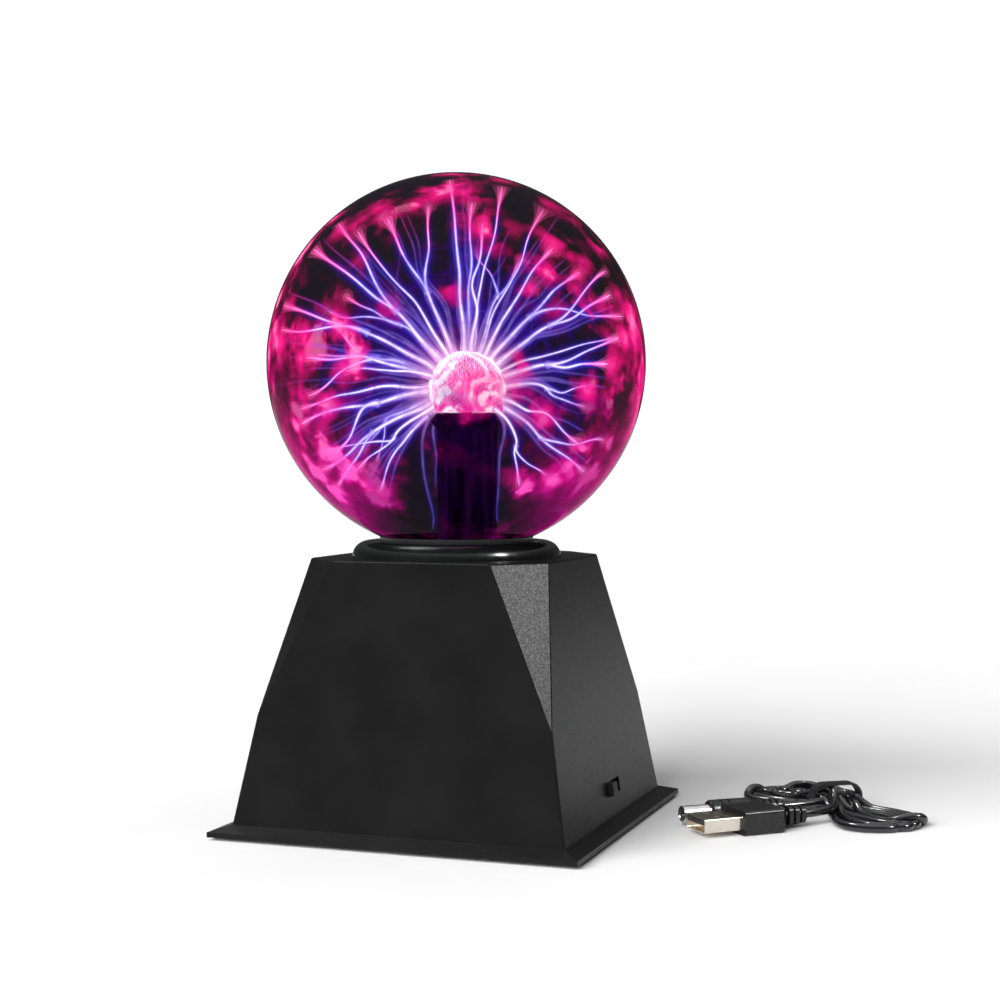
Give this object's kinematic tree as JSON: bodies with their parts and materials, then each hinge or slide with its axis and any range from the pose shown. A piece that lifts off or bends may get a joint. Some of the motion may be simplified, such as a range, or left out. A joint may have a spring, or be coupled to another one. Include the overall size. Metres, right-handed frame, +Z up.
{
  "type": "plasma ball",
  "caption": "Desk plasma globe on a faceted black pyramid base with a slide switch and a tied USB power lead.",
  "frame": {"origin": "on the table, under the centre of the square base", "axes": "+Z up through the globe, -Y the front face, +X the side with the slide switch"},
  "size_m": [0.2154, 0.1446, 0.2166],
  "materials": {
    "base_plastic": "black ABS with a fine moulded grain, semi-matt",
    "plate_plastic": "black ABS, matt",
    "screw_steel": "zinc plated",
    "foot_rubber": "matt",
    "globe_glass": "clear globe that reads dark and smoky in daylight",
    "collar_gloss": "polished black",
    "seal_silicone": "silicone, satin",
    "stem_glass": "clear",
    "filler_metal": "conductive filler, glowing pink when lit",
    "hv_insulation": "red silicone insulation",
    "board_laminate": "paper laminate",
    "ferrite": "sintered ferrite",
    "winding_tape": "yellow polyester tape",
    "black_plastic": "satin",
    "capacitor_sleeve": "shrink sleeve",
    "film_capacitor_case": "dipped",
    "heatsink_aluminium": "extruded",
    "resistor_body": "lacquer",
    "microphone_can": "drawn can",
    "switch_steel": "nickel plated",
    "knob_plastic": "satin",
    "contact_brass": "gold flashed",
    "nickel": "nickel plated",
    "wire_insulation": "PVC",
    "cord_pvc": "soft black PVC with a dull shine",
    "tie_plastic": "PVC coated wire"
  },
  "bodies": {
    "base": {"base_housing": "base_plastic", "base_plate": "plate_plastic", "base_screws": "screw_steel", "board_screws": "screw_steel", "circuit_board": "board_laminate", "control_chip": "black_plastic", "dc_jack": "black_plastic", "dc_jack_nut": "nickel", "dc_jack_pin": "contact_brass", "electrode_core": "filler_metal", "electrode_stem": "stem_glass", "electrolytic_capacitors": "capacitor_sleeve", "film_capacitors": "film_capacitor_case", "glass_globe": "globe_glass", "globe_collar": "collar_gloss", "globe_seal": "seal_silicone", "heatsink": "heatsink_aluminium", "hv_lead": "hv_insulation", "inlet_wires": "wire_insulation", "microphone": "microphone_can", "neck_adhesive": "seal_silicone", "power_transistor": "black_plastic", "resistors": "resistor_body", "rubber_feet": "foot_rubber", "switch_body": "switch_steel", "switch_screws": "screw_steel", "switch_wires": "wire_insulation", "transformer_base": "black_plastic", "transformer_core": "ferrite", "transformer_winding": "winding_tape", "transistor_screw": "screw_steel"},
    "switch_knob": {"switch_knob": "knob_plastic"},
    "power_lead": {"barrel_overmold": "cord_pvc", "barrel_sleeve": "nickel", "barrel_insulator": "black_plastic", "usb_overmold": "cord_pvc", "usb_shell": "nickel", "usb_tongue": "black_plastic", "usb_contacts": "contact_brass", "barrel_lead": "cord_pvc", "usb_lead": "cord_pvc", "lead_hank": "cord_pvc", "twist_tie": "tie_plastic"}
  },
  "joints": [
    {"name": "switch_slide", "type": "slide", "parent": "base", "child": "switch_knob", "axis": [0, 1, 0], "range_m": [0, 0.0088]},
    {"name": "lead_slide", "type": "slide", "parent": "base", "child": "power_lead", "axis": [1, 0, 0], "range_m": [0, 0.1]}
  ]
}
